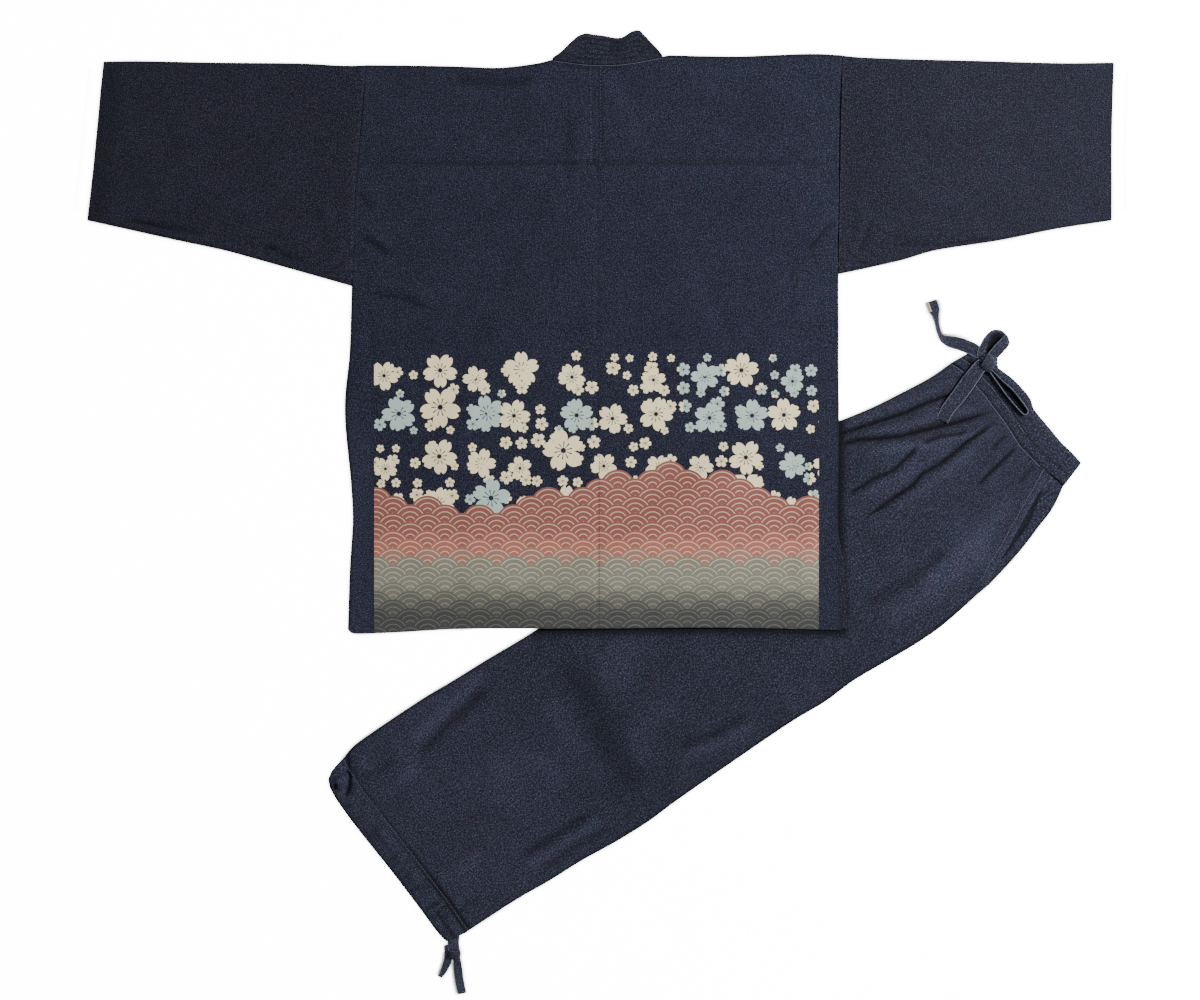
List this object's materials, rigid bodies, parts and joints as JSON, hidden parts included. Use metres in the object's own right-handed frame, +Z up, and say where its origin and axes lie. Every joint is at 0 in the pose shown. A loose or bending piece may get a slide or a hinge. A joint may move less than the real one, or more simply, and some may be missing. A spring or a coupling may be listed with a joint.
{
  "type": "samue jacket and trousers set",
  "caption": "Cotton denim wrap jacket laid face down, sleeves spread, over drawstring trousers folded in half lengthwise.",
  "frame": {"origin": "middle of the table area that the set covers, at the table's height", "axes": "+Z up from the table, +Y towards the jacket's collar, +X along the sleeves towards the right cuff as it lies"},
  "size_m": [1.3632, 1.2782, 0.0212],
  "materials": {
    "denim_back": "indigo cotton denim with a printed panel on the lower back",
    "denim_sleeve": "indigo cotton denim, slubby and matt",
    "denim_front": "indigo cotton denim, slubby and matt",
    "collar_denim": "doubled indigo denim with rows of stitching along the band",
    "tie_denim": "narrow folded denim ribbon, topstitched along both edges",
    "denim_trousers": "indigo cotton denim, a little lighter and more worn"
  },
  "bodies": {
    "root": {"back_left": "denim_back", "back_right": "denim_back", "sleeve_left": "denim_sleeve", "sleeve_right": "denim_sleeve", "front_outer": "denim_front", "front_inner": "denim_front", "collar_back": "collar_denim", "collar_front_outer": "collar_denim", "collar_front_inner": "collar_denim", "tie_front": "tie_denim", "tie_side": "tie_denim", "folded_layers": "denim_trousers", "leg_front": "denim_trousers", "leg_side_panel": "denim_trousers", "waistband": "denim_trousers", "hem_casing": "denim_trousers", "drawstring_knot": "tie_denim", "drawstring_loop_round": "tie_denim", "drawstring_loop_long": "tie_denim", "drawstring_tail_lower": "tie_denim", "drawstring_tail_upper": "tie_denim", "hem_tie_knot": "tie_denim", "hem_tie_root": "tie_denim", "hem_tie_long": "tie_denim", "hem_tie_short": "tie_denim"}
  },
  "joints": []
}
